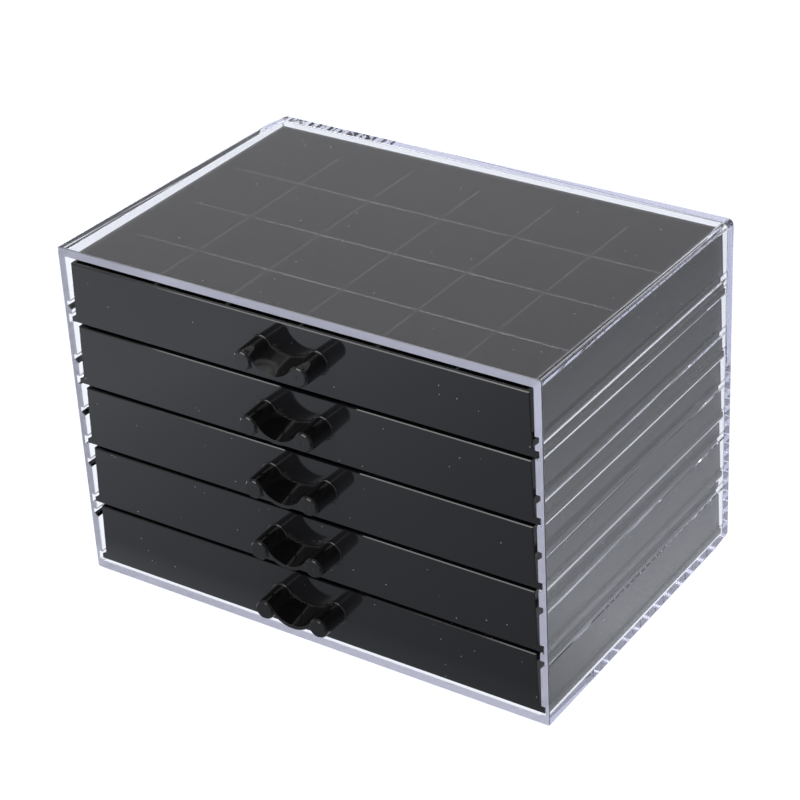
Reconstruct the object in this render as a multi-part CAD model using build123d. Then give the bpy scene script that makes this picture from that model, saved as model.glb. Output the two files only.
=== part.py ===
from build123d import *
from math import asin, degrees
import os

# A nail polish organizer: a clear moulded case, open at the front, that holds
# black drawers in grooves along its side walls. Each drawer is divided into
# small square compartments by strips that cross, and has a pull handle.
# Millimetres. X runs to the right, Y from the open front to the back, Z up.
# The origin is the middle of the case's flat underside.

# Case, outside, measured at the open front
case_width = 235.0
case_depth = 159.0
case_height = 160.5
side_draft = 1.4            # each side stands in by this much at the back
top_draft = 2.6             # the top is lower by this much at the back
case_corner_radius = 1.0
case_back_corner_radius = 3.0
case_back_edge_radius = 1.0
corner_swell_length = 12.0  # the corners round off over this length at the back
front_rim_chamfer = 0.3
underside_trim = 0.05       # taken off the underside, to leave it dead flat

# Case, walls at the open front
side_wall = 3.7
top_wall = 3.8
floor_wall = 4.2
back_wall = 3.7
inner_side_draft = 0.5
inner_top_draft = 1.0
inner_corner_radius = 0.4
inner_back_corner_radius = 2.5
inner_back_edge_radius = 1.2

# Grooves along the inside of the side walls
groove_depth = 1.9
groove_height = 4.1
groove_runout = 1.6         # length over which a groove ends in a ramp
groove_end_depth = 0.02     # what is left of a groove where its ramp ends
groove_play = 0.2           # the drawer stops this far from the ramp

# Spare grooves of the same mould, for a taller stack of lower drawers
spare_groove_pitch = 26.0
spare_groove_first = 27.3
spare_groove_slant = 1.7    # the lower flank rises by this much to the bottom

# Drawers, and their clearances in the case where its walls stand closest
drawer_count = 5
drawer_gap = 1.7            # between one drawer's rim and the next drawer
drawer_floor_gap = 0.7
drawer_top_gap = 2.0
drawer_side_gap = 0.8
drawer_back_gap = 2.3
drawer_recess = 0.5         # drawer fronts stand back from the case's rim
drawer_wall_draft = 0.9     # each side wall leans in by this much at the rim
tongue_lift = 0.15          # under a tongue, in its groove
tongue_top_gap = 0.15
tongue_end_gap = 0.45
tongue_slope = 1.6          # a tongue is thinner by this much at its tip
tray_front_wall = 1.6
tray_side_wall = 1.4
tray_back_wall = 1.4
tray_floor = 1.6
tray_inner_draft = 0.2
tray_inner_radius = 1.2
tray_edge_chamfer = 0.35
fit_gap = 0.1               # clearance of pegs and strips in what holds them

# Divider strips
column_count = 6
row_count = 4
last_row_extra = 2.4        # the row at the back is deeper by this much
strip_thickness = 1.3
strip_drop = 4.4            # from the drawer's rim down to the strips' top
strip_edge_chamfer = 0.25
guide_rib_thickness = 1.1
guide_rib_reach = 1.2

# Handle: two round bars with a sling between them
bar_spacing = 27.5
bar_lift = 0.5              # bars' axis above the middle of the drawer's front
bar_length = 13.0
bar_base_radius = 5.0
bar_tip_radius = 4.5
stub_length = 1.0
stub_step = 0.35
stub_chamfer = 0.45
dimple_radius = 0.7
dimple_depth = 0.25
sling_front_sag = 3.4       # middle of the sling below the bars' axis
sling_front_climb = 1.2     # the sling's ends above the bars' axis
sling_base_sag = 0.2
sling_base_climb = 1.5
sling_front_thickness = 1.5
sling_base_thickness = 1.8
sling_overlap = 0.7         # how far the sling's ends run into the bars
collar_reach = 0.5
collar_thickness = 0.6
collar_chamfer = 0.3
peg_radius = 2.2

cutter_margin = 1.0

# What follows from the sizes above
front_y = -case_depth / 2
inner_back_y = case_depth / 2 - back_wall
tray_front_y = front_y + drawer_recess
tray_back_y = inner_back_y - drawer_back_gap
drawer_depth = tray_back_y - tray_front_y

drawer_bottom_width = case_width - 2 * (side_wall + inner_side_draft + drawer_side_gap)
drawer_rim_width = drawer_bottom_width - 2 * drawer_wall_draft
tongue_reach = drawer_side_gap + groove_depth - tongue_end_gap
tongue_root_height = groove_height - tongue_lift - tongue_top_gap
tongue_tip_height = tongue_root_height - tongue_slope

drawer_first = floor_wall + drawer_floor_gap
top_drawer_rim = case_height - top_wall - inner_top_draft - drawer_top_gap
stack_height = top_drawer_rim - drawer_first
drawer_height = (stack_height - (drawer_count - 1) * drawer_gap) / drawer_count
drawer_pitch = drawer_height + drawer_gap
bar_rise = drawer_height / 2 + bar_lift
strip_top = drawer_height - strip_drop
strip_height = strip_top - tray_floor

spare_groove_limit = top_drawer_rim - groove_height
spare_groove_count = int((spare_groove_limit - spare_groove_first) / spare_groove_pitch) + 1


def cross_plane(y):
    """Plane across the object at Y: local x is X, local y is Z."""
    return Plane(origin=(0, y, 0), x_dir=(1, 0, 0), z_dir=(0, -1, 0))


def tapered_block(stations):
    """Rounded block; a station is (y, half width, low z, high z, corner radius)."""
    sections = []
    for y, half, low, high, radius in stations:
        outline = RectangleRounded(2 * half, high - low, radius)
        sections.append(cross_plane(y) * Pos(0, (low + high) / 2) * outline)
    return loft(sections, ruled=True)


def outer_half_width(y):
    return case_width / 2 - side_draft * (y - front_y) / case_depth


def outer_top(y):
    return case_height - top_draft * (y - front_y) / case_depth


def inner_half_width(y):
    share = (y - front_y) / (inner_back_y - front_y)
    return case_width / 2 - side_wall - inner_side_draft * share


def inner_top(y):
    share = (y - front_y) / (inner_back_y - front_y)
    return case_height - top_wall - inner_top_draft * share


def groove_face(y, low, depth, slant):
    """Section of one right-hand groove at Y, with its flanks and bottom."""
    mouth = inner_half_width(y)
    bottom = mouth + depth
    high = low + groove_height
    inside = mouth - inner_back_corner_radius
    outline = [(inside, low), (mouth, low)]
    if slant:
        outline += [(bottom, low + slant * depth / groove_depth)]
    else:
        outline += [(bottom, low)]
    outline += [(bottom, high), (inside, high)]
    return cross_plane(y) * make_face(Polyline(*outline, close=True))


def groove_cutter(low, slant):
    """A groove from the open front to its ramp, for the right-hand wall."""
    ramp_y = tray_back_y + groove_play
    stations = [(front_y - cutter_margin, groove_depth), (ramp_y, groove_depth)]
    stations.append((ramp_y + groove_runout, groove_end_depth))
    cutter = Part()
    for (y0, depth0), (y1, depth1) in zip(stations, stations[1:]):
        sections = [groove_face(y0, low, depth0, slant), groove_face(y1, low, depth1, slant)]
        cutter += loft(sections, ruled=True)
    return cutter


def case_block():
    """The case's outside, with its front rim's bevel, before it is hollowed."""
    rim_y = front_y + front_rim_chamfer
    swell_y = case_depth / 2 - corner_swell_length
    low = -underside_trim
    stations = []
    for y, radius in (
        (rim_y, case_corner_radius),
        (swell_y, case_corner_radius),
        (case_depth / 2, case_back_corner_radius),
    ):
        stations.append((y, outer_half_width(y), low, outer_top(y), radius))
    block = tapered_block(stations)
    back_face = block.faces().sort_by(Axis.Y)[-1]
    block = fillet(back_face.edges(), case_back_edge_radius)
    rim_half, rim_top = outer_half_width(rim_y), outer_top(rim_y)
    bevel = front_rim_chamfer
    block += tapered_block([
        (front_y, rim_half - bevel, low + bevel, rim_top - bevel, case_corner_radius),
        (rim_y, rim_half, low, rim_top, case_corner_radius),
    ])
    return block


def case_room():
    """The hollow of the case, open at the front."""
    mouth_y = front_y - cutter_margin
    swell_y = inner_back_y - corner_swell_length
    stations = []
    for y, radius in (
        (mouth_y, inner_corner_radius),
        (swell_y, inner_corner_radius),
        (inner_back_y, inner_back_corner_radius),
    ):
        stations.append((y, inner_half_width(y), floor_wall, inner_top(y), radius))
    room = tapered_block(stations)
    return fillet(room.faces().sort_by(Axis.Y)[-1].edges(), inner_back_edge_radius)


def make_case():
    shell = case_block() - case_room()
    below = Box(
        case_width + 2 * cutter_margin, case_depth + 2 * cutter_margin, cutter_margin,
        align=(Align.CENTER, Align.CENTER, Align.MAX),
    )
    shell -= below
    grooves = []
    for index in range(drawer_count):
        groove_low = drawer_first + index * drawer_pitch - tongue_lift
        grooves.append(groove_cutter(groove_low, 0))
    for index in range(spare_groove_count):
        groove_low = spare_groove_first + index * spare_groove_pitch
        grooves.append(groove_cutter(groove_low, spare_groove_slant))
    for groove in grooves:
        shell = shell - groove - mirror(groove, about=Plane.YZ)
    return shell


def tray_outline():
    """Section of a drawer across Y, with the tongues at its foot."""
    foot = drawer_bottom_width / 2
    tip = foot + tongue_reach
    right = [
        (tip, 0),
        (tip, tongue_tip_height),
        (foot, tongue_root_height),
        (drawer_rim_width / 2, drawer_height),
    ]
    left = [(-x, z) for x, z in reversed(right)]
    return Polyline(*right, *left, close=True)


def strip_places(count, low, high):
    """Middles of the strips that share a clear span into equal compartments."""
    clear = (high - low - (count - 1) * strip_thickness) / count
    first = low + clear + strip_thickness / 2
    return [first + index * (clear + strip_thickness) for index in range(count - 1)]


floor_half_width = drawer_rim_width / 2 - tray_side_wall - tray_inner_draft
floor_front_y = tray_front_y + tray_front_wall
floor_back_y = tray_back_y - tray_back_wall - tray_inner_draft
column_xs = strip_places(column_count, -floor_half_width, floor_half_width)
row_ys = strip_places(row_count, floor_front_y, floor_back_y - last_row_extra)
bar_xs = [-bar_spacing / 2, bar_spacing / 2]


def tray_cavity():
    length = floor_back_y - floor_front_y
    low = RectangleRounded(2 * floor_half_width, length, tray_inner_radius)
    high = RectangleRounded(
        2 * (floor_half_width + tray_inner_draft), length + tray_inner_draft, tray_inner_radius
    )
    middle = (floor_front_y + floor_back_y) / 2
    return loft(
        [
            Pos(0, middle, tray_floor) * low,
            Pos(0, middle + tray_inner_draft / 2, drawer_height) * high,
        ],
        ruled=True,
    )


def guide_ribs():
    """Pairs of ribs on the drawer's walls that hold the strips' ends."""
    ribs = Part()
    shift = (strip_thickness + guide_rib_thickness) / 2 + fit_gap
    in_wall = tray_side_wall / 2
    deep = guide_rib_reach + in_wall
    middle_z = tray_floor + strip_height / 2
    for row_y in row_ys:
        for side in (-1, 1):
            for offset in (-shift, shift):
                x = side * (floor_half_width + in_wall - deep / 2)
                rib = Box(deep, guide_rib_thickness, strip_height)
                ribs += Pos(x, row_y + offset, middle_z) * rib
    for column_x in column_xs:
        for wall_y, side in ((floor_front_y, -1), (floor_back_y, 1)):
            for offset in (-shift, shift):
                y = wall_y + side * (in_wall - deep / 2)
                rib = Box(guide_rib_thickness, deep, strip_height)
                ribs += Pos(column_x + offset, y, middle_z) * rib
    return ribs


def make_tray():
    section = cross_plane(tray_front_y) * make_face(tray_outline())
    tray = extrude(section, amount=-drawer_depth)
    front = tray.faces().sort_by(Axis.Y)[0]
    tray = chamfer(front.edges(), tray_edge_chamfer)
    tray -= tray_cavity()
    tray += guide_ribs()
    hole_length = 2 * (tray_front_wall + cutter_margin)
    for bar_x in bar_xs:
        axis = Plane(origin=(bar_x, tray_front_y, bar_rise), z_dir=(0, 1, 0))
        tray -= axis * Cylinder(peg_radius + fit_gap, hole_length)
    return tray


def strip_section():
    half = strip_thickness / 2
    cut = strip_edge_chamfer
    points = [
        (-half, 0),
        (half, 0),
        (half, strip_height - cut),
        (half - cut, strip_height),
        (cut - half, strip_height),
        (-half, strip_height - cut),
    ]
    return make_face(Polyline(*points, close=True))


def strip_between(start, end):
    """A strip standing on the drawer's floor from one point to another."""
    direction = (end - start).normalized()
    side = direction.cross(Vector(0, 0, 1))
    plane = Plane(origin=start, x_dir=side, z_dir=direction)
    if plane.y_dir.Z < 0:
        plane = Plane(origin=start, x_dir=-side, z_dir=direction)
    return extrude(plane * strip_section(), amount=(end - start).length)


def half_lap(z):
    """Room for a crossing strip over half of the strip's height."""
    width = strip_thickness + 2 * fit_gap
    return Pos(0, 0, z) * Box(width, width, strip_height / 2 + fit_gap)


def make_long_strips():
    """Strips along X, notched from above where the cross strips sit."""
    reach = floor_half_width - fit_gap
    notch_z = strip_top - strip_height / 4 + fit_gap / 2
    strips = []
    for row_y in row_ys:
        strip = strip_between(Vector(-reach, row_y, tray_floor), Vector(reach, row_y, tray_floor))
        for column_x in column_xs:
            strip -= Pos(column_x, row_y, 0) * half_lap(notch_z)
        strips.append(strip)
    return Compound(strips)


def make_cross_strips():
    """Strips along Y, notched from below where they sit on the long ones."""
    start_y = floor_front_y + fit_gap
    end_y = floor_back_y - fit_gap
    notch_z = tray_floor + strip_height / 4 - fit_gap / 2
    strips = []
    for column_x in column_xs:
        strip = strip_between(
            Vector(column_x, start_y, tray_floor), Vector(column_x, end_y, tray_floor)
        )
        for row_y in row_ys:
            strip -= Pos(column_x, row_y, 0) * half_lap(notch_z)
        strips.append(strip)
    return Compound(strips)


def sling_face(y, bar_radius, sag, climb, thickness, extra=0.0):
    """Section of the sling at Y: a thick arc hung between the two bars."""
    half_chord = bar_spacing / 2 - bar_radius
    drop = sag + climb
    radius = (half_chord ** 2 + drop ** 2) / (2 * drop)
    centre_z = bar_rise - sag + radius
    half_angle = degrees(asin((half_chord + sling_overlap) / radius))
    inner = CenterArc((0, centre_z), radius - extra, 270 - half_angle, 2 * half_angle)
    outer = CenterArc((0, centre_z), radius + thickness + extra, 270 - half_angle, 2 * half_angle)
    outline = [inner, outer, Line(inner @ 0, outer @ 0), Line(inner @ 1, outer @ 1)]
    return cross_plane(y) * make_face(outline)


def make_handle():
    collar_y = tray_front_y - collar_thickness
    shoulder_y = tray_front_y - bar_length
    handle = loft(
        [
            sling_face(shoulder_y, bar_tip_radius, sling_front_sag, sling_front_climb,
                       sling_front_thickness),
            sling_face(tray_front_y, bar_base_radius, sling_base_sag, sling_base_climb,
                       sling_base_thickness),
        ],
        ruled=True,
    )
    collar_section = sling_face(
        tray_front_y, bar_base_radius, sling_base_sag, sling_base_climb,
        sling_base_thickness, collar_reach,
    )
    handle += extrude(collar_section, amount=collar_thickness)
    for bar_x in bar_xs:
        forward = Plane(origin=(bar_x, tray_front_y, bar_rise), z_dir=(0, -1, 0))
        collar = Cylinder(
            bar_base_radius + collar_reach, collar_thickness,
            align=(Align.CENTER, Align.CENTER, Align.MIN),
        )
        collar = chamfer(collar.edges().sort_by(Axis.Z)[-1], collar_chamfer)
        bar = Cone(
            bar_base_radius, bar_tip_radius, bar_length,
            align=(Align.CENTER, Align.CENTER, Align.MIN),
        )
        stub = Cylinder(
            bar_tip_radius - stub_step, stub_length,
            align=(Align.CENTER, Align.CENTER, Align.MIN),
        )
        stub = chamfer(stub.edges().sort_by(Axis.Z)[-1], stub_chamfer)
        peg = Cylinder(
            peg_radius, tray_front_wall - fit_gap,
            align=(Align.CENTER, Align.CENTER, Align.MAX),
        )
        handle += forward * collar
        handle += forward * bar
        handle += forward * Pos(0, 0, bar_length) * stub
        handle += forward * peg
    gate = Plane(
        origin=(bar_xs[-1], shoulder_y - stub_length, bar_rise), z_dir=(0, -1, 0)
    )
    ball_radius = (dimple_radius ** 2 + dimple_depth ** 2) / (2 * dimple_depth)
    handle -= gate * Pos(0, 0, ball_radius - dimple_depth) * Sphere(ball_radius)
    return handle


def drawer_bottom(number):
    """Underside of a drawer; number 1 is the top one."""
    return drawer_first + (drawer_count - number) * drawer_pitch


os.makedirs("parts", exist_ok=True)
export_step(make_case(), "parts/case_shell.step")
drawer_pieces = {
    "tray": make_tray(),
    "handle": make_handle(),
    "long_dividers": make_long_strips(),
    "cross_dividers": make_cross_strips(),
}
for number in range(1, drawer_count + 1):
    for name, piece in drawer_pieces.items():
        placed = Pos(0, 0, drawer_bottom(number)) * piece
        export_step(placed, f"parts/drawer_{number}_{name}.step")
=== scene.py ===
import math
import bpy
from mathutils import Matrix, Vector


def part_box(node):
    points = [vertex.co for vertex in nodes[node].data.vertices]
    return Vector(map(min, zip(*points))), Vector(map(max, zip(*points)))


# A nail polish organizer: a clear moulded case with five black drawers.
# Metres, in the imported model's frame: X right, Y from the front to the back,
# Z up, with the origin under the middle of the case.

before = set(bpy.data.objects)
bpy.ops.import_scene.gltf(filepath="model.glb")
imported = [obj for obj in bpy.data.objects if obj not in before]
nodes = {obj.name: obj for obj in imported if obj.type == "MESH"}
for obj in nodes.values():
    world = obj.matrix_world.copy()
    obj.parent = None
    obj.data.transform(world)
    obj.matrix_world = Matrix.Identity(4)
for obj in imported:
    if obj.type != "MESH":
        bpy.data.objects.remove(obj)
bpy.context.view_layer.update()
drawer_numbers = range(1, 6)

# Camera, in the object's frame
camera_place = (0.54225, -0.77489, 0.62869)
camera_azimuth = math.radians(35.1363)
camera_elevation = math.radians(30.1797)
camera_roll = math.radians(-3.2119)
camera_lens = 113.86
camera_sensor = 36.0

# Light
sky_zenith = 0.9
sky_mid = 0.49
sky_mid_blue = 1.06
sky_horizon = 0.62
floor_seen = 1.1            # white, seen directly or through the case
# Painted light and shade on the floor, seen only in reflections: a dim level plus a glow graded
# brighter to the left and beside the object
floor_dim = 0.14            # what the floor gives to reflections, at its dimmest
floor_glow = 0.18           # and what its bright side adds at the object's middle
floor_rise = (-5.0, -2.0)   # how fast that grows along X and Y, per metre
floor_rise_limit = 1.5      # the growth's exponent stops here
floor_beside = 5.5          # how much more the glow is beside the object than before it
floor_turn = (-0.1, 0.0)    # the stretch along Y where it changes
floor_tint = (0.95, 0.985, 1.07, 1)
floor_size = 6.0
floor_gap = 0.0002          # the floor lies this far under the case
light_bounces = 48          # enough for light that runs along inside a wall
overhead_place, overhead_aim = (-0.5, -0.3, 1.6), (0, 0, 0.1)
overhead_size, overhead_power = (1.2, 1.2), 6
front_place, front_aim = (-0.35, -0.85, 1.05), (0, -0.08, 0.08)
front_size, front_power = (1.0, 0.25), 3

# Clear plastic
clear_index = 1.58
clear_tint, clear_density = (0.55, 0.55, 0.73, 1), 4.5
clear_dust_scale, clear_dust = 520.0, 0.03
clear_wave_scale, clear_ripple = 16.0, 0.012
matt_roughness = 0.38       # of the rim and of dust
rim_depth = 0.00045         # how far the rim's matt finish reaches back

# Black plastic
black_dust_scale = 620.0
black_wave_scale = 22.0
smudge_scale = 34.0
smudge_roughness = 0.07     # what a smudge adds
dust_roughness = 0.5        # what a speck adds
dust_colour = (0.30, 0.30, 0.31, 1)

ripple_height = 0.001
speck_size = 0.16           # of a cell, at most

# How rounded the sharp edges look
tray_rounding = 0.000015
handle_rounding = 0.00025
strip_rounding = 0.00008


def add_nodes(tree):
    """Shorthand that makes a node, sets its sockets and links them."""
    def make(kind, inputs=None, **settings):
        node = tree.nodes.new(kind)
        for name, value in settings.items():
            setattr(node, name, value)
        for key, value in (inputs or {}).items():
            if isinstance(value, bpy.types.NodeSocket):
                tree.links.new(value, node.inputs[key])
            else:
                node.inputs[key].default_value = value
        return node
    return make


def new_material(name):
    material = bpy.data.materials.new(name)
    material.use_nodes = True
    material.node_tree.nodes.clear()
    return material, add_nodes(material.node_tree)


def dress(node, material):
    """Gives a CAD piece its finish."""
    for slot in nodes[node].material_slots:
        slot.material = material


def dust_mask(make, scale, amount):
    """Sparse round specks: 1 on a speck, 0 elsewhere."""
    place = make("ShaderNodeTexCoord").outputs["Object"]
    cells = make("ShaderNodeTexVoronoi", {"Vector": place, "Scale": scale}, feature="F1")
    pick = make("ShaderNodeSeparateColor", {"Color": cells.outputs["Color"]})
    size = make("ShaderNodeMath", {0: pick.outputs[1], 1: speck_size}, operation="MULTIPLY")
    near = make("ShaderNodeMath", {0: cells.outputs["Distance"], 1: size.outputs[0]},
                operation="LESS_THAN")
    chosen = make("ShaderNodeMath", {0: pick.outputs[0], 1: amount}, operation="LESS_THAN")
    return make("ShaderNodeMath", {0: near.outputs[0], 1: chosen.outputs[0]},
                operation="MULTIPLY").outputs[0]


def black_plastic(name, shade, roughness, dust, ripple, rounding):
    """Glossy black moulding with smudges, dust specks and a slight ripple."""
    material, make = new_material(name)
    place = make("ShaderNodeTexCoord").outputs["Object"]
    smudge = make("ShaderNodeTexNoise", {"Vector": place, "Scale": smudge_scale,
                                         "Detail": 4.0})
    gloss = make("ShaderNodeMapRange", {"Value": smudge.outputs["Fac"], "From Min": 0.4,
                                        "From Max": 0.75, "To Min": roughness,
                                        "To Max": roughness + smudge_roughness})
    specks = dust_mask(make, black_dust_scale, dust)
    rough = make("ShaderNodeMath", {0: specks, 1: dust_roughness, 2: gloss.outputs[0]},
                 operation="MULTIPLY_ADD")
    colour = make("ShaderNodeMix", {0: specks, 6: (shade, shade, shade * 1.1, 1),
                                    7: dust_colour}, data_type="RGBA")
    waves = make("ShaderNodeTexNoise", {"Vector": place, "Scale": black_wave_scale,
                                        "Detail": 1.0})
    edge = make("ShaderNodeBevel", {"Radius": rounding}, samples=6)
    bump = make("ShaderNodeBump", {"Height": waves.outputs["Fac"], "Strength": ripple,
                                   "Distance": ripple_height, "Normal": edge.outputs[0]})
    surface = make("ShaderNodeBsdfPrincipled", {
        "Base Color": colour.outputs[2], "Roughness": rough.outputs[0],
        "Normal": bump.outputs[0],
    })
    make("ShaderNodeOutputMaterial", {"Surface": surface.outputs[0]})
    return material


def clear_plastic():
    """Clear moulding; its front rim is a little matt, where the mould parted."""
    rim_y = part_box("case_shell")[0][1] + rim_depth
    material, make = new_material("clear_case")
    place = make("ShaderNodeTexCoord").outputs["Object"]
    waves = make("ShaderNodeTexNoise", {"Vector": place, "Scale": clear_wave_scale,
                                        "Detail": 1.0})
    bump = make("ShaderNodeBump", {"Height": waves.outputs["Fac"], "Strength": clear_ripple,
                                   "Distance": ripple_height})
    specks = dust_mask(make, clear_dust_scale, clear_dust)
    depth = make("ShaderNodeSeparateXYZ", {0: place})
    rim = make("ShaderNodeMath", {0: depth.outputs["Y"], 1: rim_y}, operation="LESS_THAN")
    worn = make("ShaderNodeMath", {0: rim.outputs[0], 1: specks}, operation="MAXIMUM")
    rough = make("ShaderNodeMath", {0: worn.outputs[0], 1: matt_roughness}, operation="MULTIPLY")
    surface = make("ShaderNodeBsdfPrincipled", {
        "Base Color": (1, 1, 1, 1), "Roughness": rough.outputs[0], "IOR": clear_index,
        "Transmission Weight": 1.0, "Normal": bump.outputs[0],
    })
    tint = make("ShaderNodeVolumeAbsorption", {"Color": clear_tint,
                                               "Density": clear_density})
    make("ShaderNodeOutputMaterial", {"Surface": surface.outputs[0], "Volume": tint.outputs[0]})
    return material


def make_floor():
    """A white floor that is dimmer in surfaces that mirror it once; what they mirror is painted
    light and shade, graded across the floor.
    """
    half = floor_size / 2
    mesh = bpy.data.meshes.new("floor")
    mesh.from_pydata([(-half, -half, 0), (half, -half, 0), (half, half, 0), (-half, half, 0)],
                     [], [(0, 1, 2, 3)])
    floor = bpy.data.objects.new("floor", mesh)
    bpy.context.scene.collection.objects.link(floor)
    floor.location.z = -floor_gap
    material, make = new_material("floor")
    place = make("ShaderNodeSeparateXYZ", {0: make("ShaderNodeTexCoord").outputs["Object"]})
    along = make("ShaderNodeMath", {0: place.outputs["X"], 1: floor_rise[0]}, operation="MULTIPLY")
    away = make("ShaderNodeMath", {0: place.outputs["Y"], 1: floor_rise[1], 2: along.outputs[0]},
                operation="MULTIPLY_ADD")
    near = make("ShaderNodeMath", {0: away.outputs[0], 1: floor_rise_limit}, operation="MINIMUM")
    growth = make("ShaderNodeMath", {0: near.outputs[0]}, operation="EXPONENT")
    beside = make("ShaderNodeMapRange", {"Value": place.outputs["Y"], "From Min": floor_turn[0],
                                         "From Max": floor_turn[1], "To Min": floor_glow,
                                         "To Max": floor_glow * (1 + floor_beside)})
    # painted light and shade for reflections: the floor's glow, brighter to the left and beside
    # the object
    gloss = make("ShaderNodeMath", {0: growth.outputs[0], 1: beside.outputs[0], 2: floor_dim},
                 operation="MULTIPLY_ADD")
    path = make("ShaderNodeLightPath")
    once = make("ShaderNodeMath", {0: path.outputs["Glossy Depth"], 1: 1.0, 2: 0.1},
                operation="COMPARE")
    level = make("ShaderNodeMapRange", {"Value": once.outputs[0],
                                        "To Min": floor_seen, "To Max": gloss.outputs[0]})
    glow = make("ShaderNodeEmission", {"Color": floor_tint, "Strength": level.outputs[0]})
    make("ShaderNodeOutputMaterial", {"Surface": glow.outputs[0]})
    mesh.materials.append(material)


def make_world():
    """A plain grey studio, by height only."""
    world = bpy.data.worlds.new("studio")
    bpy.context.scene.world = world
    world.use_nodes = True
    world.node_tree.nodes.clear()
    make = add_nodes(world.node_tree)
    place = make("ShaderNodeTexCoord").outputs["Generated"]
    parts = make("ShaderNodeSeparateXYZ", {0: place})
    ramp = make("ShaderNodeValToRGB", {"Fac": parts.outputs["Z"]})
    ramp.color_ramp.interpolation = "EASE"
    stops = ramp.color_ramp.elements
    stops[0].position, stops[0].color = 0.0, (sky_horizon, sky_horizon, sky_horizon, 1)
    stops[1].position, stops[1].color = 1.0, (sky_zenith, sky_zenith, sky_zenith, 1)
    middle = stops.new(0.5)
    middle.color = (sky_mid, sky_mid, sky_mid * sky_mid_blue, 1)
    glow = make("ShaderNodeBackground", {"Color": ramp.outputs[0], "Strength": 1.0})
    make("ShaderNodeOutputWorld", {"Surface": glow.outputs[0]})


def area_light(name, place, aim, size, power):
    light = bpy.data.lights.new(name, "AREA")
    light.shape = "RECTANGLE"
    light.size, light.size_y = size
    light.energy = power
    lamp = bpy.data.objects.new(name, light)
    bpy.context.scene.collection.objects.link(lamp)
    lamp.location = place
    lamp.rotation_euler = (Vector(aim) - Vector(place)).to_track_quat("-Z", "Y").to_euler()


def make_camera():
    data = bpy.data.cameras.new("camera")
    data.sensor_width = camera_sensor
    data.lens = camera_lens
    data.clip_start, data.clip_end = 0.05, 30
    camera = bpy.data.objects.new("camera", data)
    bpy.context.scene.collection.objects.link(camera)
    az, el, roll = camera_azimuth, camera_elevation, camera_roll
    back = Vector((math.sin(az) * math.cos(el), -math.cos(az) * math.cos(el), math.sin(el)))
    level = Vector((math.cos(az), math.sin(az), 0))
    above = back.cross(level)
    right = level * math.cos(roll) + above * math.sin(roll)
    up = above * math.cos(roll) - level * math.sin(roll)
    turn = Matrix((right, up, back)).transposed().to_4x4()
    camera.matrix_world = Matrix.Translation(camera_place) @ turn
    bpy.context.scene.camera = camera


scene = bpy.context.scene
scene.view_settings.view_transform = "Standard"
scene.cycles.max_bounces = light_bounces
scene.cycles.glossy_bounces = light_bounces
scene.cycles.transmission_bounces = light_bounces
make_camera()
make_world()
make_floor()
area_light("overhead", overhead_place, overhead_aim, overhead_size, overhead_power)
area_light("front", front_place, front_aim, front_size, front_power)

dress("case_shell", clear_plastic())
# name, darkness, roughness, dust, ripple, rounding
tray_finish = black_plastic("black_tray", 0.010, 0.05, 0.05, 0.04, tray_rounding)
handle_finish = black_plastic("black_handle", 0.004, 0.07, 0.02, 0.02, handle_rounding)
divider_finish = black_plastic("black_divider", 0.010, 0.10, 0.02, 0.02, strip_rounding)
for number in drawer_numbers:
    dress(f"drawer_{number}_tray", tray_finish)
    dress(f"drawer_{number}_handle", handle_finish)
    dress(f"drawer_{number}_long_dividers", divider_finish)
    dress(f"drawer_{number}_cross_dividers", divider_finish)
